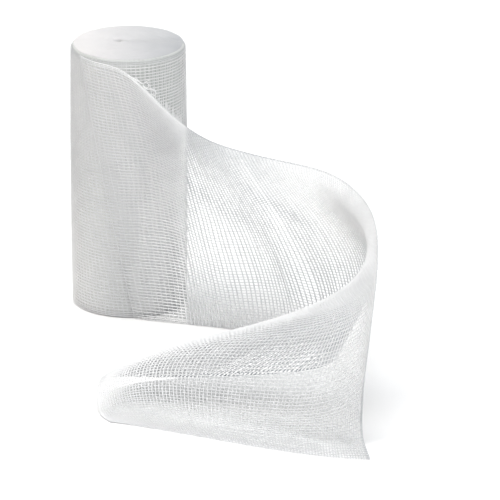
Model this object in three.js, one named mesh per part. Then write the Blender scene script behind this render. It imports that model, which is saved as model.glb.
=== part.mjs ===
// A roll of open-weave gauze bandage standing on its end, with the loose end of the strip
// drawn off to the right, turned over itself in a soft hump and laid flat on the table.
// Millimetres. +Z is up, the roll's axis is the Z axis and z = 0 is the table.
import * as THREE from 'three';

// ---- driving dimensions -------------------------------------------------------------------
const ROLL_HEIGHT = 100;      // the bandage's width, which is the roll's height
const ROLL_MID_RADIUS = 21.3; // half way up, where the turns swell a little
const ROLL_END_RADIUS = 20.9; // at both ends
const TOP_RIM = 1.6;          // soft rounding of the top edge
const BASE_RIM = 0.8;         // rounding of the edge it stands on
const ROLL_SIDES = 72;

const CLOTH = 1.2;            // thickness of the loose strip
const OFF_ROLL = 0.4;         // gap from the roll to the strip lying on it
const STEPS_ALONG = 104;      // facets along the strip
const STEPS_ACROSS = 16;      // facets across it

// The loose strip, one row for each crossing thread that shapes it. `along` is the distance
// along the strip; foot, low, high and top are four points on that thread, from the edge that
// stands on the table (foot) to the upper edge (top), a third of the width apart.
const STRIP = [
  { part: 'on the roll, front left', along: -20, foot: [2, -22.4, 0.7], low: [-5.4, -21.6, 33.5], high: [-12, -18.7, 66], top: [-17.6, -13.7, 99] },
  { part: 'foot leaves the roll', along: 0, foot: [21, -28, 0.7], low: [16, -23.6, 32], high: [8.8, -20.6, 63.5], top: [-0.4, -22.2, 95] },
  { part: 'middle leaves the roll', along: 18, foot: [36, -32.5, 0.7], low: [30.5, -27, 27.5], high: [22.5, -14.5, 53], top: [15.5, -16, 77.7] },
  { part: 'clear of the roll', along: 36, foot: [52, -39.5, 0.7], low: [46.5, -31.5, 28.5], high: [34.5, -14, 49.5], top: [25, -5, 66.2] },
  { part: 'standing run', along: 57, foot: [68, -48.5, 0.7], low: [60, -40, 30], high: [46.5, -20, 49], top: [38, 6, 56.4] },
  { part: 'foot turns back', along: 76, foot: [79.5, -61, 0.7], low: [78, -56, 30.5], high: [65, -31, 48], top: [54.5, 2, 53.6] },
  { part: 'turn, lower half', along: 92, foot: [73, -74, 0.7], low: [88, -72, 38.5], high: [75.5, -46, 51], top: [66, -12, 56] },
  { part: 'turn, middle', along: 110, foot: [57, -79, 0.7], low: [89.5, -86, 42], high: [80.5, -61, 54], top: [73, -30, 60] },
  { part: 'turn, upper half', along: 131, foot: [38, -81, 0.7], low: [82, -98, 41], high: [85.5, -79, 54], top: [81, -53, 62.2] },
  { part: 'back of the hump', along: 155, foot: [18, -84, 0.7], low: [70, -105, 35.5], high: [86.5, -98, 51], top: [87.3, -78, 63.2] },
  { part: 'back of the hump, left', along: 178, foot: [1, -88, 2], low: [53, -105, 30.3], high: [81, -112, 45], top: [89.6, -98, 61] },
  { part: 'ridge', along: 197, foot: [-7, -97, 6], low: [39, -104, 26], high: [75, -117, 39], top: [89.5, -115, 55.7] },
  { part: 'front of the hump', along: 212, foot: [-9.3, -105.5, 6.5], low: [27, -106, 21.3], high: [67, -121, 30.5], top: [88.6, -128, 49.5] },
  { part: 'front, half way down', along: 224, foot: [-9.8, -112, 5], low: [21, -108, 15.5], high: [62, -126, 21.5], top: [87.3, -136.5, 41.9] },
  { part: 'front, low', along: 237, foot: [-9.2, -117, 1.5], low: [19, -112.5, 8.5], high: [59, -129.5, 12], top: [85.6, -142, 30] },
  { part: 'meets the table', along: 249, foot: [-8.6, -120, 0.7], low: [19.5, -118.5, 3.3], high: [57, -133, 4.5], top: [84.3, -145, 18.5] },
  { part: 'flat on the table', along: 262, foot: [-7.5, -123, 0.7], low: [21, -126, 0.9], high: [56.5, -140, 0.9], top: [83.9, -147, 5] },
  { part: 'cut end', along: 282, foot: [-4.9, -127.5, 0.7], low: [25.5, -141.5, 0.7], high: [57.5, -156.5, 0.7], top: [86.4, -164, 0.7] },
];

const fabric = (color) => new THREE.MeshStandardMaterial({ color, roughness: 0.95, metalness: 0 });

function solid(name, points, faces, color) {
  const shape = new THREE.BufferGeometry();
  shape.setAttribute('position', new THREE.Float32BufferAttribute(points.flat(), 3));
  shape.setIndex(faces.flat());
  shape.computeVertexNormals();
  const piece = new THREE.Mesh(shape, fabric(color));
  piece.name = name;
  return piece;
}

// ---- the wound roll: one solid, turned about its axis, flat underneath ----------------------
function rollProfile() {
  const barrel = (z) => {
    const up = (2 * z) / ROLL_HEIGHT - 1;
    return ROLL_MID_RADIUS - (ROLL_MID_RADIUS - ROLL_END_RADIUS) * up * up;
  };
  const ring = [];
  for (const turn of [0, 45, 90]) {
    const a = (turn * Math.PI) / 180;
    const z = BASE_RIM * (1 - Math.sin(a));
    ring.push([barrel(z) - BASE_RIM * (1 - Math.cos(a)), z]);
  }
  ring.reverse();
  for (let k = 1; k <= 6; k += 1) {
    const z = BASE_RIM + (k / 7) * (ROLL_HEIGHT - BASE_RIM - TOP_RIM);
    ring.push([barrel(z), z]);
  }
  for (const turn of [0, 30, 60, 90]) {
    const a = (turn * Math.PI) / 180;
    const z = ROLL_HEIGHT - TOP_RIM * (1 - Math.sin(a));
    ring.push([barrel(z) - TOP_RIM * (1 - Math.cos(a)), z]);
  }
  return ring;
}

function makeRoll() {
  const rings = rollProfile();
  const points = [[0, 0, 0]];
  for (const [r, z] of rings) {
    for (let s = 0; s < ROLL_SIDES; s += 1) {
      const a = (2 * Math.PI * s) / ROLL_SIDES;
      points.push([r * Math.cos(a), r * Math.sin(a), z]);
    }
  }
  points.push([0, 0, ROLL_HEIGHT]);
  const at = (k, s) => 1 + k * ROLL_SIDES + (s % ROLL_SIDES);
  const last = points.length - 1;
  const faces = [];
  for (let s = 0; s < ROLL_SIDES; s += 1) {
    faces.push([0, at(0, s + 1), at(0, s)]);
    for (let k = 0; k + 1 < rings.length; k += 1) {
      faces.push([at(k, s), at(k, s + 1), at(k + 1, s + 1)]);
      faces.push([at(k, s), at(k + 1, s + 1), at(k + 1, s)]);
    }
    faces.push([at(rings.length - 1, s), at(rings.length - 1, s + 1), last]);
  }
  return solid('roll', points, faces, 0xe9ebea);
}

// ---- the loose strip: a smooth sheet through the rows of STRIP ------------------------------
const COLUMNS = ['foot', 'low', 'high', 'top'];

// slope of one column at row i, weighted by the spacing of the rows on either side
function slope(column, i) {
  const step = (a, b) => STRIP[b][column].map((p, x) => (p - STRIP[a][column][x]) / (STRIP[b].along - STRIP[a].along));
  if (i === 0) return step(0, 1);
  if (i === STRIP.length - 1) return step(i - 1, i);
  const before = STRIP[i].along - STRIP[i - 1].along;
  const after = STRIP[i + 1].along - STRIP[i].along;
  const back = step(i - 1, i);
  const ahead = step(i, i + 1);
  return back.map((b, x) => (b * after + ahead[x] * before) / (before + after));
}

function columnAt(column, along) {
  let i = 0;
  while (i < STRIP.length - 2 && along > STRIP[i + 1].along) i += 1;
  const span = STRIP[i + 1].along - STRIP[i].along;
  const t = (along - STRIP[i].along) / span;
  const m0 = slope(column, i);
  const m1 = slope(column, i + 1);
  return STRIP[i][column].map((p, x) => (2 * t ** 3 - 3 * t ** 2 + 1) * p
    + (t ** 3 - 2 * t ** 2 + t) * span * m0[x]
    + (3 * t ** 2 - 2 * t ** 3) * STRIP[i + 1][column][x]
    + (t ** 3 - t ** 2) * span * m1[x]);
}

// the four columns at every millimetre along the strip
const FIRST = STRIP[0].along;
const EACH_MM = [];
for (let along = FIRST; along <= STRIP[STRIP.length - 1].along; along += 1) {
  EACH_MM.push(COLUMNS.map((column) => columnAt(column, along)));
}

// cloth is too soft for a sharp bend: every column is evened out along the strip over EASE mm
const EASE = 20;

function eased(rows) {
  const shares = [];
  for (let away = -3 * EASE; away <= 3 * EASE; away += 1) shares.push(Math.exp(-0.5 * (away / EASE) ** 2));
  const whole = shares.reduce((sum, share) => sum + share, 0);
  return rows.map((row, i) => row.map((point, k) => point.map((unused, x) => {
    let sum = 0;
    shares.forEach((share, n) => {
      const from = Math.min(Math.max(i + n - 3 * EASE, 0), rows.length - 1);
      sum += (share / whole) * rows[from][k][x];
    });
    return sum;
  })));
}

// the easing comes in where the strip has left the roll and fades out before its cut end
const once = eased(EACH_MM);
const twice = eased(once);
const EASED = EACH_MM.map((row, i) => {
  const along = FIRST + i;
  const near = Math.min(Math.max(Math.min(along - 45, 200 - along) / 20, 0), 1);
  const part = near * near * (3 - 2 * near);
  return row.map((point, k) => point.map((c, x) => c + part * (2 * once[i][k][x] - twice[i][k][x] - c)));
});

function easedColumn(k, along) {
  const place = Math.min(Math.max(along - FIRST, 0), EASED.length - 1.001);
  const i = Math.floor(place);
  const t = place - i;
  return EASED[i][k].map((c, x) => c * (1 - t) + EASED[i + 1][k][x] * t);
}

// the middle of the cloth at `along` and at `across` (0 at the foot edge, 1 at the upper edge)
function middle(along, across) {
  const v = across;
  const weight = [
    -4.5 * (v - 1 / 3) * (v - 2 / 3) * (v - 1),
    13.5 * v * (v - 2 / 3) * (v - 1),
    -13.5 * v * (v - 1 / 3) * (v - 1),
    4.5 * v * (v - 1 / 3) * (v - 2 / 3),
  ];
  const p = new THREE.Vector3();
  COLUMNS.forEach((column, k) => p.addScaledVector(new THREE.Vector3(...easedColumn(k, along)), weight[k]));
  // where it is still wound, the strip lies on the outside of the roll
  const nearest = ROLL_MID_RADIUS + OFF_ROLL + CLOTH / 2;
  const out = Math.hypot(p.x, p.y);
  if (out < nearest) {
    p.x *= nearest / out;
    p.y *= nearest / out;
  }
  p.z = Math.max(p.z, CLOTH / 2);
  return p;
}

function makeTail() {
  const first = STRIP[0].along;
  const length = STRIP[STRIP.length - 1].along - first;
  const front = [];
  const back = [];
  for (let i = 0; i <= STEPS_ALONG; i += 1) {
    const along = first + (length * i) / STEPS_ALONG;
    for (let j = 0; j <= STEPS_ACROSS; j += 1) {
      const v = j / STEPS_ACROSS;
      const p = middle(along, v);
      const du = middle(Math.min(along + 0.5, first + length), v).sub(middle(Math.max(along - 0.5, first), v));
      const dv = middle(along, Math.min(v + 0.01, 1)).sub(middle(along, Math.max(v - 0.01, 0)));
      const normal = du.cross(dv).normalize().multiplyScalar(CLOTH / 2);
      front.push([p.x + normal.x, p.y + normal.y, Math.max(0, p.z + normal.z)]);
      back.push([p.x - normal.x, p.y - normal.y, Math.max(0, p.z - normal.z)]);
    }
  }
  const points = front.concat(back);
  const across = STEPS_ACROSS + 1;
  const under = front.length;
  const at = (i, j) => i * across + j;
  const faces = [];
  const quad = (a, b, c, d) => faces.push([a, b, c], [a, c, d]);
  for (let i = 0; i < STEPS_ALONG; i += 1) {
    for (let j = 0; j < STEPS_ACROSS; j += 1) {
      quad(at(i, j), at(i + 1, j), at(i + 1, j + 1), at(i, j + 1));
      quad(under + at(i, j), under + at(i, j + 1), under + at(i + 1, j + 1), under + at(i + 1, j));
    }
    quad(at(i, 0), under + at(i, 0), under + at(i + 1, 0), at(i + 1, 0));
    quad(at(i, STEPS_ACROSS), at(i + 1, STEPS_ACROSS), under + at(i + 1, STEPS_ACROSS), under + at(i, STEPS_ACROSS));
  }
  for (let j = 0; j < STEPS_ACROSS; j += 1) {
    quad(at(0, j), at(0, j + 1), under + at(0, j + 1), under + at(0, j));
    quad(at(STEPS_ALONG, j), under + at(STEPS_ALONG, j), under + at(STEPS_ALONG, j + 1), at(STEPS_ALONG, j + 1));
  }
  return solid('tail', points, faces, 0xf2f4f3);
}

const group = new THREE.Group();
group.name = 'gauze_bandage_roll';
group.add(makeRoll());
group.add(makeTail());

export default group;
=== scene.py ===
import math

import bpy
import numpy as np
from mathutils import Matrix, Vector


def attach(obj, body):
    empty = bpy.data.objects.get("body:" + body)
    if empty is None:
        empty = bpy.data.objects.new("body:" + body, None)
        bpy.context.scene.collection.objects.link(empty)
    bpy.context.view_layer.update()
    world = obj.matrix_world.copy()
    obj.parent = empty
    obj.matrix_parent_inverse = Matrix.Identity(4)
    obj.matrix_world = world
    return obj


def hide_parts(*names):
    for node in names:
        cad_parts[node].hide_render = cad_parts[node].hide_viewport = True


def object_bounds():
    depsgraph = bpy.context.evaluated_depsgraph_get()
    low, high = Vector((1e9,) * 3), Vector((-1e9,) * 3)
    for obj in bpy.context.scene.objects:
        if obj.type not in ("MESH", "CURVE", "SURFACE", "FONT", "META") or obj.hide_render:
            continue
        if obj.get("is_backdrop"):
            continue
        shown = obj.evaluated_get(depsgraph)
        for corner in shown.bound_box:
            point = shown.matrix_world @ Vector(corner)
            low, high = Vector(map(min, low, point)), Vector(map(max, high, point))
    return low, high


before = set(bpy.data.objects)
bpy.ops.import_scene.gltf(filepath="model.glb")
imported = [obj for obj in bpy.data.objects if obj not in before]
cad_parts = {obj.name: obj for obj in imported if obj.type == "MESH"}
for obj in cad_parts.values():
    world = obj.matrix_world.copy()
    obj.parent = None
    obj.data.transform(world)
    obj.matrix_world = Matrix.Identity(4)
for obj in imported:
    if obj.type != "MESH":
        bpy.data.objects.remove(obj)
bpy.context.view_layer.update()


# Camera. A long lens stands 2.5 m off and looks along +Y, 19.8 degrees down on the table.
# It aims just above the table, between the roll and the far end of the loose strip, and
# a millimetre that lies 10 mm nearer than its aim comes out 2.708 pixels wide.
camera_fall = math.radians(19.8)
camera_aim = Vector((0.0446, 0.0, 0.019))
camera_reach = 2.5
film_width = 36.0
picture_width = 500
pixels_per_mm = 2.708
scaled_at_mm = camera_reach * 1000 - 10
camera_data = bpy.data.cameras.new("camera")
camera_data.sensor_width = film_width
camera_data.lens = film_width * pixels_per_mm * scaled_at_mm / picture_width
camera = bpy.data.objects.new("camera", camera_data)
camera_back = Vector((0, -math.cos(camera_fall), math.sin(camera_fall)))
camera.location = camera_aim + camera_reach * camera_back
camera.rotation_euler = (math.pi / 2 - camera_fall, 0, 0)
bpy.context.scene.collection.objects.link(camera)
bpy.context.scene.camera = camera


# Table and studio light. The table is a plain white top without a pattern, in matt paint.
# Three soft boxes light it, a wide one overhead, a warmer one at the left and one in front
# at the right, and the room is pale.
def linear(hex_colour):
    """An sRGB hex colour as the linear values that shaders and lamps take."""
    parts = [int(hex_colour[i:i + 2], 16) / 255 for i in (1, 3, 5)]
    shades = [c / 12.92 if c <= 0.04045 else ((c + 0.055) / 1.055) ** 2.4 for c in parts]
    return (*shades, 1.0)


def add_node(tree, kind, settings=None, inputs=None):
    """Adds a node with its settings, and gives its inputs their values or links."""
    made = tree.nodes.new(kind)
    for name, value in (settings or {}).items():
        setattr(made, name, value)
    for name, value in (inputs or {}).items():
        if isinstance(value, bpy.types.NodeSocket):
            tree.links.new(value, made.inputs[name])
        else:
            made.inputs[name].default_value = value
    return made


bpy.context.scene.view_settings.view_transform = "Standard"
table_half = 4.0
table_level = -0.00005
table_corners = [
    (x * table_half, y * table_half, table_level)
    for x, y in ((-1, -1), (1, -1), (1, 1), (-1, 1))
]
table_mesh = bpy.data.meshes.new("table")
table_mesh.from_pydata(table_corners, [], [(0, 1, 2, 3)])
table = bpy.data.objects.new("table", table_mesh)
bpy.context.scene.collection.objects.link(table)

# Matt paint, rolled on: an even white without shine, on which only soft shadows show.
table_paint = bpy.data.materials.new("matt white paint")
table_paint.use_nodes = True
table_shader = table_paint.node_tree.nodes["Principled BSDF"]
table_shader.inputs["Base Color"].default_value = linear("#FBFBFB")
table_shader.inputs["Roughness"].default_value = 0.9
table_shader.inputs["Specular IOR Level"].default_value = 0.1
table_mesh.materials.append(table_paint)
table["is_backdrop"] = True

room = bpy.data.worlds.new("room")
room.use_nodes = True
room.node_tree.nodes["Background"].inputs["Color"].default_value = linear("#F4F7FA")
room.node_tree.nodes["Background"].inputs["Strength"].default_value = 0.38
bpy.context.scene.world = room

lamps_aim = Vector((0.03, -0.05, 0.03))
for name, place, wide, watts, colour in (
    ("top soft box", (-0.10, 0.15, 1.5), 1.2, 19.0, "#FFFFFF"),
    ("left soft box", (-1.1, -0.4, 1.1), 0.9, 7.5, "#FFF8F0"),
    ("front soft box", (0.8, -1.6, 0.8), 1.0, 11.5, "#FFFFFF"),
):
    lamp_data = bpy.data.lights.new(name, "AREA")
    lamp_data.shape = "DISK"
    lamp_data.size = wide
    lamp_data.energy = watts
    lamp_data.color = linear(colour)[:3]
    lamp = bpy.data.objects.new(name, lamp_data)
    lamp.location = place
    lamp.rotation_euler = (lamps_aim - Vector(place)).to_track_quat("-Z", "Y").to_euler()
    bpy.context.scene.collection.objects.link(lamp)


# Wound core. About five metres of gauze are rolled up tight and stand on end, 10 cm high.
# Its ends show the strip's edge as a close spiral with a soft rim, sunk a little at the eye,
# and its side shows the turns below through the last two, which are pieces of their own.

# Sizes are in millimetres from here on, and MM turns them to metres.
MM = 0.001
roll_height = 100.0
roll_belly = 21.3
roll_taper = 0.4
core_inset = 0.34
core_foot = 0.9
foot_inset = 0.6
foot_level = 0.5
foot_eye = 0.6
core_rim = 1.1
core_wall_top = roll_height - 0.15 - core_rim
wall_rows = 40
rim_steps = 10
core_sides = 144
cap_rings = 48
eye_x, eye_y = -3.4, 1.6


def ramp(value, start, stop):
    """Rises from 0 at start to 1 at stop, which may lie on either side of it."""
    return np.clip((value - start) / (stop - start), 0, 1)


def hill(value, top, reach):
    """1 at the top, falling softly to both sides."""
    return np.exp(-((value - top) / reach) ** 2)


def roll_radius(z):
    return roll_belly - roll_taper * (2 * z / roll_height - 1) ** 2


def end_drop(x, y):
    """How far below the highest point an end of the roll lies: domed, with a sunk eye."""
    dome = 0.35 * (np.hypot(x, y) / 19.0) ** 2
    eye = 1.3 * hill(np.hypot(x - eye_x, (y - eye_y) * 1.3), 0, 1.5)
    slit = 0.4 * hill(y - eye_y + 0.28 * (x - eye_x), 0.5, 0.7) * hill(x - eye_x, 4.0, 5.0)
    return dome + eye + slit - 0.2


def uncovered(bearing, height):
    """1 where the loose strip no longer covers the roll's front, above its slanting edge, else 0.
    """
    degrees = (np.degrees(bearing) + 180) % 360 - 180
    edge = np.interp(degrees, (-110, -91, -71, -50, -33, 0), (99, 95, 88, 79, 73, 66))
    in_front = ramp(degrees, -110, -90) * ramp(degrees, 18, -12)
    return in_front * ramp(height - edge, -3, 3)


def ring(r):
    """The places round the roll's axis at one radius."""
    turns = [2 * math.pi * i / core_sides for i in range(core_sides)]
    return [(r * math.cos(a), r * math.sin(a)) for a in turns]


core_rows = []
for z in np.linspace(core_foot, core_wall_top, wall_rows):
    core_rows.append((roll_radius(z) - core_inset, z))
wall_r, wall_z = core_rows[-1]
for k in range(1, rim_steps):
    turn = math.pi / 2 * k / rim_steps
    rim_in = core_rim * (1 - math.cos(turn))
    rim_up = core_rim * math.sin(turn)
    core_rows.append((wall_r - rim_in, wall_z + rim_up))
core_places = []
for r, z in core_rows:
    core_places += [(x, y, z) for x, y in ring(r)]
for k in range(1, cap_rings):
    cap_ring = ring(core_rows[-1][0] * (1 - k / cap_rings))
    core_places += [(x, y, roll_height - end_drop(x, y)) for x, y in cap_ring]
core_places.append((0, 0, roll_height - end_drop(0, 0)))
core_places.append((0, 0, foot_eye))
core_places += [(x, y, foot_level) for x, y in ring(core_rows[0][0] - foot_inset)]
core_places = np.array(core_places)

rings = len(core_rows) + cap_rings - 1
crown = rings * core_sides
foot = crown + 1
neighbours = [(i, (i + 1) % core_sides) for i in range(core_sides)]
core_faces = []
for below in range(0, crown - core_sides, core_sides):
    above = below + core_sides
    core_faces += [(below + i, below + j, above + j, above + i) for i, j in neighbours]
for i, j in neighbours:
    core_faces.append((crown - core_sides + i, crown - core_sides + j, crown))
for i, j in neighbours:
    core_faces.append((foot + 1 + i, foot + 1 + j, j, i))
    core_faces.append((foot, foot + 1 + j, foot + 1 + i))
core_mesh = bpy.data.meshes.new("wound core")
core_mesh.from_pydata((core_places * MM).tolist(), [], core_faces)
core_mesh.validate()
core_mesh.polygons.foreach_set("use_smooth", [True] * len(core_mesh.polygons))

# Painted shade on the ground: it is darker where the strip no longer covers it, low on the front
# and at the rim.
core_height = core_places[:, 2]
core_bearing = np.arctan2(core_places[:, 1], core_places[:, 0])
low_front = ramp(core_height, 38, 8) * hill(np.degrees(core_bearing), -85, 32)
core_painted_shade = np.maximum(uncovered(core_bearing, core_height), 0.45 * low_front)
core_painted_shade *= ramp(core_height, roll_height - 0.6, roll_height - 1.8)
core_at_rim = ramp(core_height, roll_height - 2.4, roll_height - 1.6)
core_painted_shade = np.maximum(core_painted_shade, 0.9 * core_at_rim)
core_mesh.attributes.new("painted_shade", "FLOAT", "POINT").data.foreach_set("value", core_painted_shade)
core = bpy.data.objects.new("wound_core", core_mesh)
bpy.context.scene.collection.objects.link(core)

# Bleached cotton gauze, many layers deep: matt and soft, white with a faint painted shade
# where the eye sees down between threads. The grid is drawn round the axis at the threads'
# spacing: two layers of warps 1.15 and 1.24 mm apart in height, and of wefts 74 and 79 to a turn.
wound_cotton = bpy.data.materials.new("bleached cotton gauze, wound")
wound_cotton.use_nodes = True
cotton_tree = wound_cotton.node_tree
cotton_shader = cotton_tree.nodes["Principled BSDF"]
cotton_shader.inputs["Roughness"].default_value = 0.95
cotton_shader.inputs["Specular IOR Level"].default_value = 0.15
cotton_shader.inputs["Sheen Weight"].default_value = 0.15
cotton_shader.inputs["Sheen Roughness"].default_value = 0.5
cotton_place = add_node(cotton_tree, "ShaderNodeTexCoord").outputs["Object"]
cotton_axes = add_node(cotton_tree, "ShaderNodeSeparateXYZ", None, {"Vector": cotton_place})
cotton_up = cotton_axes.outputs["Z"]
cotton_bearing = add_node(
    cotton_tree, "ShaderNodeMath", {"operation": "ARCTAN2"},
    {0: cotton_axes.outputs["Y"], 1: cotton_axes.outputs["X"]},
).outputs[0]
wobble = add_node(
    cotton_tree, "ShaderNodeTexNoise", None,
    {"Vector": cotton_place, "Scale": 90.0, "Detail": 2.0},
).outputs["Fac"]
warp_phases = (2 * math.pi / (1.15 * MM), 2 * math.pi / (1.24 * MM))
warp_lean = 0.0011
top_thread = None
# A row for each layer of threads: the phase that it gains in a radian round the roll and in
# a metre of height, its shift, and how far the noise leads it astray.
for a_radian, a_metre, shift, stray in (
    (0.0, warp_phases[0], 0.0, 5.0),
    (warp_lean * warp_phases[1], warp_phases[1], 1.9, 5.0),
    (74.0, 45.0, 0.4, 4.0),
    (79.0, 20.0, 2.2, 4.0),
):
    thread = shift
    for measure, share in ((cotton_up, a_metre), (cotton_bearing, a_radian), (wobble, stray)):
        thread = add_node(
            cotton_tree, "ShaderNodeMath", {"operation": "MULTIPLY_ADD"},
            {0: measure, 1: share, 2: thread},
        ).outputs[0]
    thread = add_node(
        cotton_tree, "ShaderNodeMath", {"operation": "SINE"}, {0: thread}
    ).outputs[0]
    if top_thread is not None:
        thread = add_node(
            cotton_tree, "ShaderNodeMath", {"operation": "MAXIMUM"}, {0: top_thread, 1: thread}
        ).outputs[0]
    top_thread = thread
cotton_shade = add_node(
    cotton_tree, "ShaderNodeMapRange", None,
    {"Value": top_thread, "From Min": -0.6, "From Max": 1.0},
).outputs[0]
cotton_colour = add_node(
    cotton_tree, "ShaderNodeMix", {"data_type": "RGBA"},
    {0: cotton_shade, 6: linear("#E6E6E5"), 7: linear("#F4F4F3")},
).outputs[2]
# Painted shade: the ground is mixed towards a darker grey where its shade attribute is high.
painted_shade = add_node(cotton_tree, "ShaderNodeAttribute", {"attribute_name": "painted_shade"}).outputs["Fac"]
cotton_colour = add_node(
    cotton_tree, "ShaderNodeMix", {"data_type": "RGBA"},
    {0: painted_shade, 6: cotton_colour, 7: linear("#C2C4C2")},
).outputs[2]
cotton_tree.links.new(cotton_colour, cotton_shader.inputs["Base Color"])
cotton_bump = add_node(
    cotton_tree, "ShaderNodeBump", None,
    {"Height": cotton_shade, "Strength": 0.5, "Distance": 0.3 * MM},
).outputs["Normal"]
cotton_tree.links.new(cotton_bump, cotton_shader.inputs["Normal"])
core_mesh.materials.append(wound_cotton)
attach(core, "root")
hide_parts("roll")


# Wound edges. At each end of the roll the strip's woven edge shows as a close spiral of
# some sixty turns, one thread thick. It runs in to the eye, which lies off the middle,
# and the thread rides up and down a little because no turn was wound quite level.

# Bleached cotton selvage, packed side by side: matt, with slow soft patches, and a shade
# greyer than the flat cloth as painted shade for the shadow each thread casts on the next.
# Painted light makes it paler towards -X, the side the light comes from.
edge_cotton = bpy.data.materials.new("bleached cotton selvage, wound")
edge_cotton.use_nodes = True
edge_shading = edge_cotton.node_tree
edge_shader = edge_shading.nodes["Principled BSDF"]
edge_shader.inputs["Roughness"].default_value = 0.95
edge_shader.inputs["Specular IOR Level"].default_value = 0.1
edge_place = add_node(edge_shading, "ShaderNodeTexCoord").outputs["Object"]
edge_patches = add_node(
    edge_shading, "ShaderNodeTexNoise", None, {"Vector": edge_place, "Scale": 140.0, "Detail": 2.0}
).outputs["Fac"]
edge_x = add_node(edge_shading, "ShaderNodeSeparateXYZ", None, {"Vector": edge_place}).outputs["X"]
# Painted light: paler towards -X.
edge_painted_light = add_node(
    edge_shading, "ShaderNodeMapRange", None,
    {"Value": edge_x, "From Min": 18 * MM, "From Max": -16 * MM, "To Min": -0.1, "To Max": 0.75},
).outputs[0]
edge_white = add_node(
    edge_shading, "ShaderNodeMath", {"operation": "MULTIPLY_ADD", "use_clamp": True},
    {0: edge_patches, 1: 0.3, 2: edge_painted_light},
).outputs[0]
edge_colour = add_node(
    edge_shading, "ShaderNodeMix", {"data_type": "RGBA"},
    {0: edge_white, 6: linear("#B8BABD"), 7: linear("#DCDADA")},
).outputs[2]
edge_shading.links.new(edge_colour, edge_shader.inputs["Base Color"])
edge_grain = add_node(
    edge_shading, "ShaderNodeTexNoise", None, {"Vector": edge_place, "Scale": 4200.0, "Detail": 2.0}
).outputs["Fac"]
edge_bump = add_node(
    edge_shading, "ShaderNodeBump", None,
    {"Height": edge_grain, "Strength": 0.4, "Distance": 0.1 * MM},
).outputs["Normal"]
edge_shading.links.new(edge_bump, edge_shader.inputs["Normal"])


def add_sockets(tree, inputs, result):
    """Gives a tree its named inputs, each with a kind and a value, and its one result."""
    for name, kind, value in inputs:
        socket = tree.interface.new_socket(
            name=name, in_out="INPUT", socket_type="NodeSocket" + kind
        )
        if value is not None:
            socket.default_value = value
    tree.interface.new_socket(name=result, in_out="OUTPUT", socket_type="NodeSocketGeometry")


edge_tree = bpy.data.node_groups.new("wound edge", "GeometryNodeTree")
add_sockets(edge_tree, (
    ("Core", "Geometry", None), ("Inner", "Float", 0.0006), ("Outer", "Float", 0.02015),
    ("Thread", "Float", 0.00042), ("Uneven", "Float", 0.0005), ("Side", "Float", 1.0),
    ("Turns", "Float", 61.0), ("Eye", "Vector", None), ("Steps", "Int", 56), ("Seed", "Int", 5),
), "Edge")
asked = add_node(edge_tree, "NodeGroupInput").outputs
coil = add_node(
    edge_tree, "GeometryNodeCurveSpiral", None,
    {
        "Resolution": asked["Steps"], "Rotations": asked["Turns"], "Start Radius": asked["Inner"],
        "End Radius": asked["Outer"], "Height": 0.0,
    },
).outputs["Curve"]
on_coil = add_node(edge_tree, "GeometryNodeInputPosition").outputs[0]
from_middle = add_node(
    edge_tree, "ShaderNodeVectorMath", {"operation": "LENGTH"}, {0: on_coil}
).outputs["Value"]
to_rim = add_node(
    edge_tree, "ShaderNodeMapRange", None,
    {
        "Value": from_middle, "From Min": 0.0, "From Max": asked["Outer"],
        "To Min": 1.0, "To Max": 0.0,
    },
).outputs[0]
off_middle = add_node(
    edge_tree, "ShaderNodeVectorMath", {"operation": "SCALE"}, {0: asked["Eye"], "Scale": to_rim}
).outputs[0]
edge_seed = add_node(
    edge_tree, "ShaderNodeMath", {"operation": "MULTIPLY"}, {0: asked["Seed"], 1: 3.7}
).outputs[0]
edge_wave = add_node(
    edge_tree, "ShaderNodeTexNoise", {"noise_dimensions": "4D"},
    {"Vector": on_coil, "W": edge_seed, "Scale": 330.0, "Detail": 2.0},
)
edge_stray = add_node(
    edge_tree, "ShaderNodeVectorMath", {"operation": "SUBTRACT"},
    {0: edge_wave.outputs["Color"], 1: (0.5, 0.5, 0.5)},
).outputs[0]
edge_stray = add_node(
    edge_tree, "ShaderNodeVectorMath", {"operation": "SCALE"},
    {0: edge_stray, "Scale": asked["Uneven"]},
).outputs[0]
edge_flat = add_node(
    edge_tree, "ShaderNodeVectorMath", {"operation": "ADD"}, {0: off_middle, 1: edge_stray}
).outputs[0]
coil_moved = add_node(
    edge_tree, "GeometryNodeSetPosition", None, {"Geometry": coil, "Offset": edge_flat}
).outputs[0]
above_coil = add_node(
    edge_tree, "ShaderNodeMath", {"operation": "MULTIPLY_ADD"},
    {0: asked["Side"], 1: 0.1, 2: 0.05},
).outputs[0]
straight_up = add_node(
    edge_tree, "ShaderNodeCombineXYZ", None, {"Z": above_coil}
).outputs[0]
coil_place = add_node(edge_tree, "GeometryNodeInputPosition").outputs[0]
look_from = add_node(
    edge_tree, "ShaderNodeVectorMath", {"operation": "ADD"}, {0: coil_place, 1: straight_up}
).outputs[0]
look_down = add_node(
    edge_tree, "ShaderNodeMath", {"operation": "MULTIPLY"}, {0: asked["Side"], 1: -1.0}
).outputs[0]
look_way = add_node(edge_tree, "ShaderNodeCombineXYZ", None, {"Z": look_down}).outputs[0]
landing = add_node(
    edge_tree, "GeometryNodeRaycast", None,
    {
        "Target Geometry": asked["Core"], "Source Position": look_from, "Ray Direction": look_way,
        "Ray Length": 1.0,
    },
).outputs["Hit Position"]
edge_lift = add_node(edge_tree, "ShaderNodeSeparateXYZ", None, {"Vector": edge_stray}).outputs["Z"]
edge_lift = add_node(edge_tree, "ShaderNodeCombineXYZ", None, {"Z": edge_lift}).outputs[0]
coil_laid = add_node(
    edge_tree, "GeometryNodeSetPosition", None,
    {"Geometry": coil_moved, "Position": landing, "Offset": edge_lift},
).outputs[0]
edge_half = add_node(
    edge_tree, "ShaderNodeMath", {"operation": "MULTIPLY"}, {0: asked["Thread"], 1: 0.5}
).outputs[0]
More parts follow.
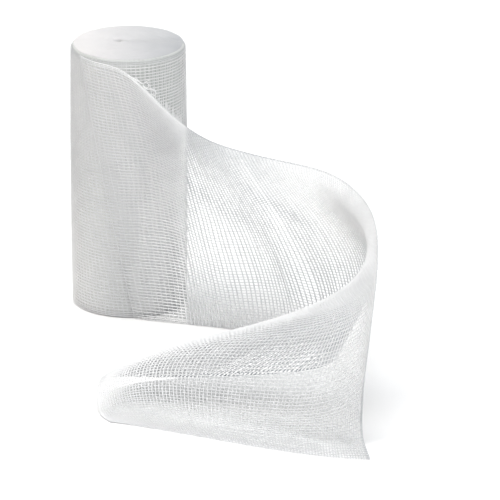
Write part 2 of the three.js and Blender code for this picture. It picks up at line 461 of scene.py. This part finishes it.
edge_profile = add_node(
    edge_tree, "GeometryNodeCurvePrimitiveCircle", {"mode": "RADIUS"},
    {"Resolution": 4, "Radius": edge_half},
).outputs["Curve"]
edge_tube = add_node(
    edge_tree, "GeometryNodeCurveToMesh", None,
    {"Curve": coil_laid, "Profile Curve": edge_profile, "Fill Caps": True},
).outputs[0]
edge_smooth = add_node(
    edge_tree, "GeometryNodeSetShadeSmooth", None, {"Geometry": edge_tube, "Shade Smooth": True}
).outputs[0]
edge_real = add_node(
    edge_tree, "GeometryNodeRealizeInstances", None, {"Geometry": edge_smooth}
).outputs[0]
edge_coated = add_node(
    edge_tree, "GeometryNodeSetMaterial", None, {"Geometry": edge_real, "Material": edge_cotton}
).outputs[0]
add_node(edge_tree, "NodeGroupOutput", None, {"Edge": edge_coated})


def bake_piece(name, mesh, tree, chosen):
    """Runs a tree on a mesh with the chosen inputs and keeps the plain mesh it makes."""
    piece = bpy.data.objects.new(name, mesh)
    bpy.context.scene.collection.objects.link(piece)
    maker = piece.modifiers.new("make", "NODES")
    maker.node_group = tree
    for item in tree.interface.items_tree:
        if item.item_type == "SOCKET" and item.in_out == "INPUT" and item.name in chosen:
            maker[item.identifier] = chosen[item.name]
    seen = piece.evaluated_get(bpy.context.evaluated_depsgraph_get())
    made = bpy.data.meshes.new_from_object(seen)
    piece.modifiers.remove(maker)
    piece.data = made
    bpy.data.meshes.remove(mesh)
    return piece


for edge_name, side, steps in (("upper_wound_edge", 1.0, 56), ("lower_wound_edge", -1.0, 40)):
    edge_piece = bake_piece(edge_name, core_mesh.copy(), edge_tree, {
        "Inner": 0.6 * MM, "Outer": 20.15 * MM, "Thread": 0.42 * MM, "Uneven": 0.5 * MM,
        "Side": side, "Turns": 61.0, "Eye": (eye_x * MM, eye_y * MM, 0), "Steps": steps,
        "Seed": 5,
    })
    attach(edge_piece, "root")
    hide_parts("roll")


# Last turns on the roll. Plain open weave: 88 warps run round and nearly 6 wefts to a cm
# cross them, each over one and under the next. Loose spun cotton, some 0.35 mm thick,
# so the threads wander and the squares are uneven. The edges have closer, thicker warps.
weft_wide = 0.34
warp_wide = 0.25
weave_wave = 0.08
warp_count = 88
weft_gap = 1.72
weave_uneven = 0.3
thread_sides = 4

# At the free end of a turn or of the strip the last row's threads are this thin, a share of
# their girth, so that each warp runs out to a point and no bar shows across the cut.
free_end = 0.1

# What the tree reads at a crossing, or for runs_along on a line between two, and its kind.
thread_fields = {
    "weft": "INT", "warp": "INT", "outward": "FLOAT_VECTOR", "girth": "FLOAT",
    "weft_girth": "FLOAT", "lift": "FLOAT", "runs_along": "BOOLEAN",
}


def weave_tree(material):
    """Sweeps threads along a net of crossings, each over one crossing and under the next."""
    tree = bpy.data.node_groups.new("plain open weave", "GeometryNodeTree")
    add_sockets(tree, (
        ("Crossings", "Geometry", None), ("Weft", "Float", 0.00034), ("Warp", "Float", 0.00025),
        ("Wave", "Float", 0.0001), ("Uneven", "Float", 0.3), ("Sides", "Int", 4),
        ("Seed", "Int", 3),
    ), "Cloth")
    given = add_node(tree, "NodeGroupInput").outputs
    field = {}
    for name, kind in thread_fields.items():
        field[name] = add_node(
            tree, "GeometryNodeInputNamedAttribute", {"data_type": kind}, {"Name": name}
        ).outputs["Attribute"]
    runs_across = add_node(
        tree, "FunctionNodeBooleanMath", {"operation": "NOT"}, {0: field["runs_along"]}
    ).outputs[0]
    crossing = add_node(
        tree, "ShaderNodeMath", {"operation": "ADD"}, {0: field["weft"], 1: field["warp"]}
    ).outputs[0]
    odd = add_node(
        tree, "ShaderNodeMath", {"operation": "FLOORED_MODULO"}, {0: crossing, 1: 2.0}
    ).outputs[0]
    side = add_node(
        tree, "ShaderNodeMath", {"operation": "MULTIPLY_ADD"}, {0: odd, 1: 2.0, 2: -1.0}
    ).outputs[0]
    rise = add_node(
        tree, "ShaderNodeMath", {"operation": "MULTIPLY"}, {0: side, 1: given["Wave"]}
    ).outputs[0]
    rise = add_node(
        tree, "ShaderNodeMath", {"operation": "MULTIPLY"}, {0: rise, 1: field["lift"]}
    ).outputs[0]
    sink = add_node(
        tree, "ShaderNodeMath", {"operation": "MULTIPLY"}, {0: rise, 1: -1.0}
    ).outputs[0]
    seed = add_node(
        tree, "ShaderNodeMath", {"operation": "MULTIPLY"}, {0: given["Seed"], 1: 7.31}
    ).outputs[0]
    spun = add_node(
        tree, "ShaderNodeTexNoise", {"noise_dimensions": "4D"},
        {"W": seed, "Scale": 420.0, "Detail": 1.0},
    ).outputs["Fac"]
    loose = add_node(
        tree, "ShaderNodeMath", {"operation": "MULTIPLY_ADD"}, {0: spun, 1: 2.0, 2: -1.0}
    ).outputs[0]
    swell = add_node(
        tree, "ShaderNodeMath", {"operation": "MULTIPLY_ADD"},
        {0: loose, 1: given["Uneven"], 2: 1.0},
    ).outputs[0]
    threads = []
    for picked, height, width, across in (
        (runs_across, rise, field["weft_girth"], given["Weft"]),
        (field["runs_along"], sink, field["girth"], given["Warp"]),
    ):
        half = add_node(
            tree, "ShaderNodeMath", {"operation": "MULTIPLY"}, {0: across, 1: 0.5}
        ).outputs[0]
        profile = add_node(
            tree, "GeometryNodeCurvePrimitiveCircle", {"mode": "RADIUS"},
            {"Resolution": given["Sides"], "Radius": half},
        ).outputs["Curve"]
        shift = add_node(
            tree, "ShaderNodeVectorMath", {"operation": "SCALE"},
            {0: field["outward"], "Scale": height},
        ).outputs[0]
        woven = add_node(
            tree, "GeometryNodeSetPosition", None,
            {"Geometry": given["Crossings"], "Offset": shift},
        ).outputs[0]
        line = add_node(
            tree, "GeometryNodeMeshToCurve", None, {"Mesh": woven, "Selection": picked}
        ).outputs[0]
        thick = add_node(
            tree, "ShaderNodeMath", {"operation": "MULTIPLY"}, {0: width, 1: swell}
        ).outputs[0]
        sized = add_node(
            tree, "GeometryNodeSetCurveRadius", None, {"Curve": line, "Radius": thick}
        ).outputs[0]
        width_read = add_node(tree, "GeometryNodeInputRadius").outputs[0]
        swept = add_node(
            tree, "GeometryNodeCurveToMesh", None,
            {"Curve": sized, "Profile Curve": profile, "Scale": width_read, "Fill Caps": False},
        ).outputs[0]
        threads.append(swept)
    cloth = add_node(tree, "GeometryNodeJoinGeometry")
    for thread in threads:
        tree.links.new(thread, cloth.inputs[0])
    smooth = add_node(
        tree, "GeometryNodeSetShadeSmooth", None,
        {"Geometry": cloth.outputs[0], "Shade Smooth": True},
    ).outputs[0]
    real = add_node(
        tree, "GeometryNodeRealizeInstances", None, {"Geometry": smooth}
    ).outputs[0]
    coated = add_node(
        tree, "GeometryNodeSetMaterial", None, {"Geometry": real, "Material": material}
    ).outputs[0]
    add_node(tree, "NodeGroupOutput", None, {"Cloth": coated})
    return tree


def sweep_threads(name, tree, points, edges, fields, wave, seed):
    """Turns lines between points into threads. Every field has a value for each point, apart
    from runs_along, which has one for each line. Only the painted shading stays, for the yarn to
    read."""
    mesh = bpy.data.meshes.new(name)
    mesh.from_pydata(points.reshape(-1, 3).tolist(), edges.tolist(), [])
    for key, values in fields.items():
        kind = thread_fields.get(key, "FLOAT")
        held_by = "EDGE" if kind == "BOOLEAN" else "POINT"
        value_name = "vector" if kind == "FLOAT_VECTOR" else "value"
        mesh.attributes.new(key, kind, held_by).data.foreach_set(value_name, values.ravel())
    piece = bake_piece(name, mesh, tree, {
        "Weft": weft_wide * MM, "Warp": warp_wide * MM, "Wave": wave * MM,
        "Uneven": weave_uneven, "Sides": thread_sides, "Seed": seed,
    })
    swept = piece.data.attributes
    for key in thread_fields:
        if key in swept:
            swept.remove(swept[key])
    return piece


def weave(name, tree, crossings, first_weft, girth, weft_girth, backed, wave, seed):
    """Sweeps every thread of a piece of gauze. crossings is wefts x warps x 3, in metres, and
    the two girths and the painted light and shade have a value for each crossing."""
    wefts, warps = crossings.shape[:2]
    outward = np.cross(np.gradient(crossings, axis=0), np.gradient(crossings, axis=1))
    outward /= np.linalg.norm(outward, axis=2, keepdims=True)
    number = np.arange(wefts * warps).reshape(wefts, warps)
    warp_edges = np.stack([number[:-1].ravel(), number[1:].ravel()], 1)
    weft_edges = np.stack([number[:, :-1].ravel(), number[:, 1:].ravel()], 1)
    edges = np.concatenate([warp_edges, weft_edges])
    rows, columns = np.indices((wefts, warps))
    fields = {
        "weft": rows + first_weft,
        "warp": columns,
        "outward": outward,
        "girth": girth,
        "weft_girth": weft_girth,
        "lift": ((columns > 0) & (columns < warps - 1)).astype(float),
        "runs_along": np.arange(len(edges)) < len(warp_edges),
        "backed": backed,
    }
    return sweep_threads(name, tree, crossings, edges, fields, wave, seed)


def softly(share):
    """Makes a straight rise from 0 to 1 start and stop gently."""
    return share * share * (3 - 2 * share)


def wandering(shape, seed, reach, rough):
    """Smooth uneven shifts, one row per thread: like neighbours, but not the same. reach has
    the knots and the share of each wave, and rough is how much of it is a thread's own."""
    rng = np.random.default_rng(seed)
    threads, steps = shape
    total = np.zeros(shape)
    alike = 6
    for knots, share in reach:
        raw = rng.normal(size=(threads, knots))
        common = rng.normal(size=(threads // alike + 3, knots))
        where = np.arange(threads) / alike
        low = where.astype(int)
        part = softly((where - low)[:, None])
        shared = common[low] * (1 - part) + common[low + 1] * part
        mixed = rough * raw + (1 - rough) * 1.4 * shared
        x = np.arange(steps) / (steps - 1) * (knots - 1)
        k = np.minimum(x.astype(int), knots - 2)
        t = softly(x - k)
        total += share * (mixed[:, k] * (1 - t) + mixed[:, k + 1] * t)
    return total


# Bleached cotton yarn, spun soft: white, matt and a little fuzzy. A slow change of shade stands
# for its uneven bleach, and a fine bump for the twist of its fibres. An attribute paints light
# and shade into the yarn: whiter where it should look lit, greyer where it should lie in shade.
yarn = bpy.data.materials.new("bleached cotton yarn")
yarn.use_nodes = True
yarn_tree = yarn.node_tree
yarn_shader = yarn_tree.nodes["Principled BSDF"]
yarn_shader.inputs["Roughness"].default_value = 0.9
yarn_shader.inputs["Specular IOR Level"].default_value = 0.2
yarn_shader.inputs["Sheen Weight"].default_value = 0.2
yarn_shader.inputs["Sheen Roughness"].default_value = 0.45
yarn_place = add_node(yarn_tree, "ShaderNodeTexCoord").outputs["Object"]
patches = add_node(
    yarn_tree, "ShaderNodeTexNoise", None, {"Vector": yarn_place, "Scale": 160.0, "Detail": 3.0}
).outputs["Fac"]
# Painted light and shade, read from the threads.
yarn_backed = add_node(
    yarn_tree, "ShaderNodeAttribute", {"attribute_name": "backed"}
).outputs["Fac"]
yarn_white = add_node(
    yarn_tree, "ShaderNodeMath", {"operation": "MULTIPLY_ADD", "use_clamp": True},
    {0: patches, 1: 0.15, 2: yarn_backed},
).outputs[0]
yarn_colour = add_node(
    yarn_tree, "ShaderNodeMix", {"data_type": "RGBA"},
    {0: yarn_white, 6: linear("#ACAFB3"), 7: linear("#F8F8F8")},
).outputs[2]
yarn_tree.links.new(yarn_colour, yarn_shader.inputs["Base Color"])
fibres = add_node(
    yarn_tree, "ShaderNodeTexNoise", None, {"Vector": yarn_place, "Scale": 9000.0, "Detail": 2.0}
).outputs["Fac"]
fibre_bump = add_node(
    yarn_tree, "ShaderNodeBump", None, {"Height": fibres, "Strength": 0.35, "Distance": 0.05 * MM}
).outputs["Normal"]
yarn_tree.links.new(fibre_bump, yarn_shader.inputs["Normal"])
open_weave = weave_tree(yarn)

# v says where each warp lies across the strip, from 0 at its foot to 1 at its top. At the
# two woven edges three warps lie closer together, and the outermost is thicker.
edge_closer = 0.55
edge_thicker = 1.1
warp_steps = np.ones(warp_count - 1)
warp_steps[:2] = warp_steps[-2:] = edge_closer
v = np.concatenate([[0], np.cumsum(warp_steps) / warp_steps.sum()])[None, :]
warp_girth = np.ones((1, warp_count))
warp_girth[:, [0, -1]] = edge_thicker


def column_weights(v):
    """Shares of four evenly spaced columns in the soft curve that runs through them."""
    return np.stack([
        -4.5 * (v - 1 / 3) * (v - 2 / 3) * (v - 1),
        13.5 * v * (v - 2 / 3) * (v - 1),
        -13.5 * v * (v - 1 / 3) * (v - 1),
        4.5 * v * (v - 1 / 3) * (v - 2 / 3),
    ], -1)


def on_the_roll(points):
    """Draws the strip in to the roll where it lies on it, as far as its own thickness."""
    innermost, free, drawn_by = 22.3, 24.0, 1.353
    r = np.hypot(points[..., 0], points[..., 1])
    drawn = np.maximum(r, innermost)
    drawn = np.where(drawn < free, free - (free - drawn) * drawn_by, drawn)
    points = points.copy()
    points[..., :2] *= (drawn / r)[..., None]
    return points


# The last turn hands over to the loose strip at the strip's first row, given here at four
# places across it. Going back from there, the turn comes upright within the handover.
turn_starts = [(2, -22.4, 0.7), (-5.4, -21.6, 33.5), (-12, -18.7, 66), (-17.6, -13.7, 99)]
start_points = on_the_roll(column_weights(v) @ np.array(turn_starts, float))
start_bearing = np.unwrap(np.arctan2(start_points[..., 1], start_points[..., 0]))
full_turn = 134.0
turn_wefts = round(full_turn / weft_gap)
turn_stray = 0.12
turn_off_core = 0.32
turn_deep = 0.36
turn_lean = math.radians(9)
turn_girth = 1.15
turn_weft_girth = 0.5
lowest_warp = 0.35
below_rim = 0.75
handover = 80
for turn_name, turns_back, seed in (("last_turn", 0, 11), ("turn_below", 1, 12)):
    first_weft = -turn_wefts * (turns_back + 1)
    far = ((np.arange(turn_wefts + 1) + first_weft) * weft_gap)[:, None]
    weft_shape, warp_shape = (turn_wefts + 1, warp_count), (warp_count, turn_wefts + 1)
    weft_wander = turn_stray * wandering(weft_shape, seed, ((5, 0.7), (11, 0.3)), 0.45)
    warp_wander = turn_stray * wandering(warp_shape, seed + 50, ((6, 0.6), (16, 0.4)), 0.5).T
    loosened = ramp(far, 0, -8)
    s = far + weft_wander * loosened
    keep = softly(ramp(s, -handover, 0))
    upright = start_bearing.mean() - turn_lean * (v - 0.5)
    level = 0.6 + v * (roll_height - 1.5)
    bearing = keep * start_bearing + (1 - keep) * upright + s / roll_belly
    height = keep * start_points[..., 2] + (1 - keep) * level + warp_wander * loosened
    height = np.clip(height, lowest_warp, roll_height - below_rim)
    out = roll_radius(height) + turn_off_core + turn_deep * s / full_turn
    out -= 1.1 * ramp(height, roll_height - 1.7, roll_height - 0.4) ** 2
    crossings = np.stack([out * np.cos(bearing), out * np.sin(bearing), height], -1) * MM
    near_rim = ramp(height, roll_height - 3.0, roll_height - 1.0)
    turn_girths = turn_girth * warp_girth * (1 - 0.6 * near_rim)
    weft_girths = turn_weft_girth * (1 - 0.5 * near_rim)
    if turns_back == 1:
        turn_girths[0] = weft_girths[0] = free_end
    # Painted light and shade on the turns: lighter where the strip no longer covers them and low on
    # the left, and greyer near the rim.
    low_left = ramp(height, 55, 15) * ramp(-np.cos(bearing), 0.3, 1.3)
    turn_painted_shading = 0.62 + 0.3 * uncovered(bearing, height) + 0.4 * low_left
    turn_painted_shading = turn_painted_shading * (1 - near_rim) + 0.3 * near_rim
    turn_piece = weave(
        turn_name, open_weave, crossings, first_weft, turn_girths, weft_girths, turn_painted_shading,
        weave_wave / 2, seed,
    )
    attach(turn_piece, "root")
    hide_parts("roll")


# Loose strip. The last 30 cm of the same open gauze leave the roll, stand on edge, turn back
# on themselves over a hump and end flat on the table at the cut. Nothing holds the cloth
# but its own stiffness and the turn that it comes from.

# One row for each section across the strip: how far along it lies, then its foot, low,
# high and top points.
STRIP = [
    (-20, *turn_starts),
    (0, (21, -28, 0.7), (16, -23.6, 32), (8.8, -20.6, 63.5), (-0.4, -22.2, 95)),
    (18, (36, -32.5, 0.7), (30.5, -27, 27.5), (22.5, -14.5, 53), (15.5, -16, 77.7)),
    (36, (52, -39.5, 0.7), (46.5, -31.5, 28.5), (34.5, -14, 49.5), (25, -5, 66.2)),
    (57, (68, -48.5, 0.7), (60, -40, 30), (46.5, -20, 49), (38, 6, 56.4)),
    (76, (79.5, -61, 0.7), (78, -56, 30.5), (65, -31, 48), (54.5, 2, 53.6)),
    (92, (73, -74, 0.7), (88, -72, 38.5), (75.5, -46, 51), (66, -12, 56)),
    (110, (57, -79, 0.7), (89.5, -86, 42), (80.5, -61, 54), (73, -30, 60)),
    (131, (38, -81, 0.7), (82, -98, 41), (85.5, -79, 54), (81, -53, 62.2)),
    (155, (18, -84, 0.7), (70, -105, 35.5), (86.5, -98, 51), (87.3, -78, 63.2)),
    (178, (1, -88, 2), (53, -105, 30.3), (81, -112, 45), (89.6, -98, 61)),
    (197, (-7, -97, 6), (39, -104, 26), (75, -117, 39), (89.5, -115, 55.7)),
    (212, (-9.3, -105.5, 6.5), (27, -106, 21.3), (67, -121, 30.5), (88.6, -128, 49.5)),
    (224, (-9.8, -112, 5), (21, -108, 15.5), (62, -126, 21.5), (87.3, -136.5, 41.9)),
    (237, (-9.2, -117, 1.5), (19, -112.5, 8.5), (59, -129.5, 12), (85.6, -142, 30)),
    (249, (-8.6, -120, 0.7), (19.5, -118.5, 3.3), (57, -133, 4.5), (84.3, -145, 18.5)),
    (262, (-7.5, -123, 0.7), (21, -126, 0.9), (56.5, -140, 0.9), (83.9, -147, 5)),
    (282, (-4.9, -127.5, 0.7), (25.5, -141.5, 0.7), (57.5, -156.5, 0.7), (86.4, -164, 0.7)),
]
strip_along = np.array([row[0] for row in STRIP], float)
strip_points = np.array([row[1:] for row in STRIP], float)
gaps = np.diff(strip_along)[:, None, None]
chords = np.diff(strip_points, axis=0) / gaps
strip_slopes = np.empty_like(strip_points)
strip_slopes[0] = chords[0]
strip_slopes[-1] = chords[-1]
strip_slopes[1:-1] = (chords[:-1] * gaps[1:] + chords[1:] * gaps[:-1]) / (gaps[:-1] + gaps[1:])
each_mm = np.arange(strip_along[0], strip_along[-1] + 0.5)
k = np.clip(np.searchsorted(strip_along, each_mm) - 1, 0, len(strip_along) - 2)
t = (each_mm - strip_along[k])[:, None, None] / gaps[k]
strip_columns = (
    (2 * t**3 - 3 * t**2 + 1) * strip_points[k]
    + (t**3 - 2 * t**2 + t) * gaps[k] * strip_slopes[k]
    + (3 * t**2 - 2 * t**3) * strip_points[k + 1]
    + (t**3 - t**2) * gaps[k] * strip_slopes[k + 1]
)


def stretch(value, start, stop, fade):
    """1 between start and stop, fading to 0 towards both of them."""
    return np.clip(np.minimum(value - start, stop - value) / fade, 0, 1)


def eased(columns, reach=20):
    """Evens the columns out along the strip, as cloth does that is too soft for a sharp bend."""
    away = np.arange(-3 * reach, 3 * reach + 1)
    shares = np.exp(-0.5 * (away / reach) ** 2)
    shares /= shares.sum()
    padded = np.pad(columns, ((3 * reach, 3 * reach), (0, 0), (0, 0)), mode="edge")
    return sum(share * padded[i:i + len(columns)] for i, share in enumerate(shares))


eased_once = eased(strip_columns)
eased_fully = 2 * eased_once - eased(eased_once)
part = softly(stretch(each_mm, 45, 200, 20))[:, None, None]
strip_columns = strip_columns + part * (eased_fully - strip_columns)


def strip_surface(along, across):
    """Points of the strip's middle, in mm, for arrays of places along it and across it."""
    place = np.clip(along.ravel() - each_mm[0], 0, len(each_mm) - 1.001)
    k = place.astype(int)
    t = (place - k)[:, None, None]
    columns = strip_columns[k] * (1 - t) + strip_columns[k + 1] * t
    points = np.einsum("ij,ijk->ik", column_weights(across.ravel()), columns)
    points = on_the_roll(points.reshape(along.shape + (3,)))
    lowest, settles = 0.55, 0.35
    height = np.maximum(points[..., 2], lowest)
    points[..., 2] = height - settles * ramp(height, 2.5, lowest)
    return points


strip_wefts = round((strip_along[-1] - strip_along[0]) / weft_gap)
far = (strip_along[0] + np.arange(strip_wefts + 1) * weft_gap)[:, None]
weft_shape, warp_shape = (strip_wefts + 1, warp_count), (warp_count, strip_wefts + 1)
weft_wander = wandering(weft_shape, 21, ((5, 0.7), (11, 0.35), (22, 0.12)), 0.4)
warp_wander = wandering(warp_shape, 22, ((10, 0.5), (26, 0.35)), 0.5).T
weft_stray = 0.35
warp_stray = 0.0014
inside = stretch(far, far[0], far[-1], 8)
off_edges = stretch(v, 0, 1, 1 / 30)
s = np.clip(far + weft_stray * weft_wander * inside, strip_along[0], strip_along[-1])
across = np.clip(v + warp_stray * warp_wander * inside * off_edges, 0, 1)
crossings = strip_surface(s, across) * MM

# How thick the threads look. On the turns the wefts lie thin and the warps stand out, at the
# roll's side all are seen edge on, and at the hump's left end they are pinched together.
# Past the hump's turn the net is even, so the wefts are thinner there and the warps thicker.
off_roll = 60
hump_turn = 205
roll_side = crossings[..., 0] / MM
on_turns = softly(ramp(roll_side, 22.3, 20.1) * (far < off_roll))
at_side = hill(roll_side, 20.5, 2.5) * (far < off_roll)
from_start = ramp(far, far[0], far[0] + 25)
on_back = ramp(far, 125, 95)
pinch_reach = np.where(far < hump_turn, 42, 28)
pinched = hill(far, hump_turn, pinch_reach) * ramp(v, 0.55, 0.2)
past_turn = ramp(far, hump_turn - 5, hump_turn + 10)
on_front = past_turn * ramp(far, 268, 258) * ramp(v, 0.4, 0.6)
weft_thick = 1.35 + 0.15 * on_back - (0.8 + 0.15 * on_back) * on_turns
weft_thick += 0.4 * at_side + 0.7 * pinched + 0.3 * on_front - 0.4 * past_turn
warp_thick = 0.85 + 0.22 * on_back + (0.08 + 0.5 * from_start) * on_turns + 1.1 * pinched
warp_thick *= (1 + 0.55 * past_turn) * (1 + 0.3 * at_side)
warp_thick[:, 0] = 0.85
warp_thick[:, -1] = 1.3 + 0.3 * on_turns[:, -1]
warp_thick[:, -3] += 0.7 * hill(far[:, 0], 5, 4)
warp_thick[-1] = weft_thick[-1] = free_end

# How white each stretch is painted at four places across the strip, foot to top: painted
# light makes it whitest where more cloth lies behind it and on the hump's front, and painted
# shade dullest on the wall inside the hump.
PAINTED_SHADING_TABLE = [  # along, then whiteness at v = 0, 0.2, 0.55, 1
    (-20, 0.55, 0.35, 0.35, 0.6), (30, 0.58, 0.42, 0.38, 0.6), (50, 0.62, 0.4, 0.26, 0.52),
    (70, 0.62, 0.42, 0.4, 0.52), (84, 0.54, 0.5, 0.64, 0.54), (100, 0.1, 0.1, 0.7, 0.55),
    (125, 0.22, 0.15, 0.55, 0.62), (145, 0.35, 0.32, 0.45, 0.66), (162, 0.6, 0.64, 0.48, 0.62),
    (176, 0.48, 0.58, 0.5, 0.56), (192, 0.38, 0.5, 0.5, 0.56), (205, 0.46, 0.58, 0.52, 0.58),
    (225, 0.7, 0.72, 0.62, 0.6), (249, 0.68, 0.64, 0.58, 0.5), (282, 0.48, 0.46, 0.4, 0.36),
]
shading_at = np.array(PAINTED_SHADING_TABLE)
shading_rows = [np.interp(far[:, 0], shading_at[:, 0], white) for white in shading_at[:, 1:].T]
backed = np.stack([np.interp(v[0], (0, 0.2, 0.55, 1), row) for row in zip(*shading_rows)])
# The top two warps are a little greyer.
backed[:, -2:] -= 0.2

# Two soft folds run down the back of the loose strip as painted shade, a little greyer than the
# rest, with thicker wefts.
for start, stop, at_start, fall in ((8, 44, 0.63, 0.0057), (46, 78, 0.66, 0.0065)):
    middle_line = at_start - fall * (far - start - 6)
    fold = hill(v, middle_line, 0.05) * stretch(far, start, stop, 8)
    backed -= 0.13 * fold
    weft_thick += 0.25 * fold

# The foot of the wall inside the hump lies in painted shade. On the turns the strip starts as
# white as they are, and is painted lighter over its first 18 mm.
foot_shade = stretch(far, 88, 176, 8)
backed[:, :2] -= 0.3 * foot_shade
warp_thick[:, :1] += 0.25 * foot_shade
wound_painted_shading = 0.62 + 0.36 * ramp(far, -20, -2)
backed = backed + on_turns * (wound_painted_shading - backed)


# Frayed edge. Where the strip leaves the roll its upper woven edge has come apart: one warp
# ends in a hook, three have curled up, and cut ends of wefts stand out of it like a comb.
# It is the strip's own soft yarn, still woven in at the root of each thread.
edge_reach = 31
edge_mm = strip_surface(np.arange(edge_reach), np.ones(edge_reach))
roll_outside = 21.8


def loose_end(places):
    """A soft thread through places given in mm: (along the edge, above it, off the roll)."""
    curve = []
    for s, above, off in places:
        k = int(s)
        point = edge_mm[k] + (s - k) * (edge_mm[k + 1] - edge_mm[k])
        radius = math.hypot(point[0], point[1])
        point[:2] *= (max(radius, roll_outside) + off) / radius
        point[2] += above
        curve.append(point)
    curve = np.array(curve)
    for _ in range(3):
        after = 0.75 * curve[:-1] + 0.25 * curve[1:]
        ahead = 0.25 * curve[:-1] + 0.75 * curve[1:]
        corners = np.stack([after, ahead], 1).reshape(-1, 3)
        curve = np.concatenate([curve[:1], corners, curve[-1:]])
    return curve * MM


comb = np.random.default_rng(17)
loose_threads = [
    (2.3, [
        (0.5, -0.3, 0.1), (3, 0.4, 0.3), (4.6, 1.0, 0.6), (6.2, 1.3, 0.8), (8, 4.2, 0.7),
        (8.8, 5.2, 0.5),
    ]),
    (2.0, [
        (6.6, 1.6, 0.8), (6.2, 0.6, 0.9), (7.4, 1.0, 1.1), (8.4, 2.4, 1.1), (8.6, 3.4, 0.9),
        (7.6, 3.2, 0.8),
    ]),
    (2.3, [
        (6.4, 0.2, 0.3), (8, 0.9, 0.6), (9.4, 2.4, 0.8), (10.8, 3.4, 1.0), (11.2, 2.2, 1.1),
        (10.2, 0.8, 1.0), (8.6, 0, 0.9),
    ]),
    (1.8, [(4, 0.2, 0.2), (4.6, 1.1, 0.5), (4.2, 1.7, 0.7), (3.6, 1.3, 0.6)]),
]
for s in np.arange(9.8, 25.5, 0.8):
    high = comb.uniform(1.4, 4.2)
    lean = comb.uniform(-0.9, 0.1)
    girth = comb.uniform(1.3, 2.1)
    off = comb.uniform(0.3, 0.8)
    places = [(s, -0.3, 0.1), (s + 0.3 * lean, 0.45 * high, 0.3), (s + lean, high, off)]
    loose_threads.append((girth, places))
fray_tip = 0.55
fray_points = []
fray_edges = []
fray_girths = []
for girth, places in loose_threads:
    curve = loose_end(places)
    first = len(fray_points)
    fray_points.extend(curve)
    fray_edges.extend((first + i, first + i + 1) for i in range(len(curve) - 1))
    fray_girths.extend(np.linspace(girth, fray_tip * girth, len(curve)))
# The loose threads are painted at full light, the whitest the yarn goes.
fray_fields = {
    "girth": np.array(fray_girths), "backed": np.ones(len(fray_points)),
    "runs_along": np.ones(len(fray_edges), bool),
}
frayed_edge = sweep_threads(
    "frayed_edge", open_weave, np.array(fray_points), np.array(fray_edges), fray_fields, 0.0, 41
)
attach(frayed_edge, "root")
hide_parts("tail")


# Strip in two sheets. The loose gauze is woven here from the shape, girths and whiteness
# above, in two pieces, which meet thread to thread at the back of the hump. The first hangs
# from the roll, and the second folds down to the cut end.
strip_middle = strip_wefts // 2
for name, rows, held, seed, on_it in (
    ("strip_from_roll", slice(0, strip_middle + 1), "hung", 31, [frayed_edge]),
    ("strip_to_cut_end", slice(strip_middle, strip_wefts + 1), "folded", 32, []),
):
    strip_piece = weave(
        name, open_weave, crossings[rows], rows.start, warp_thick[rows], weft_thick[rows],
        backed[rows], weave_wave, seed,
    )
    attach(strip_piece, "root")
    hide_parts("tail")


# Sizes of what is shown.
low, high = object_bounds()
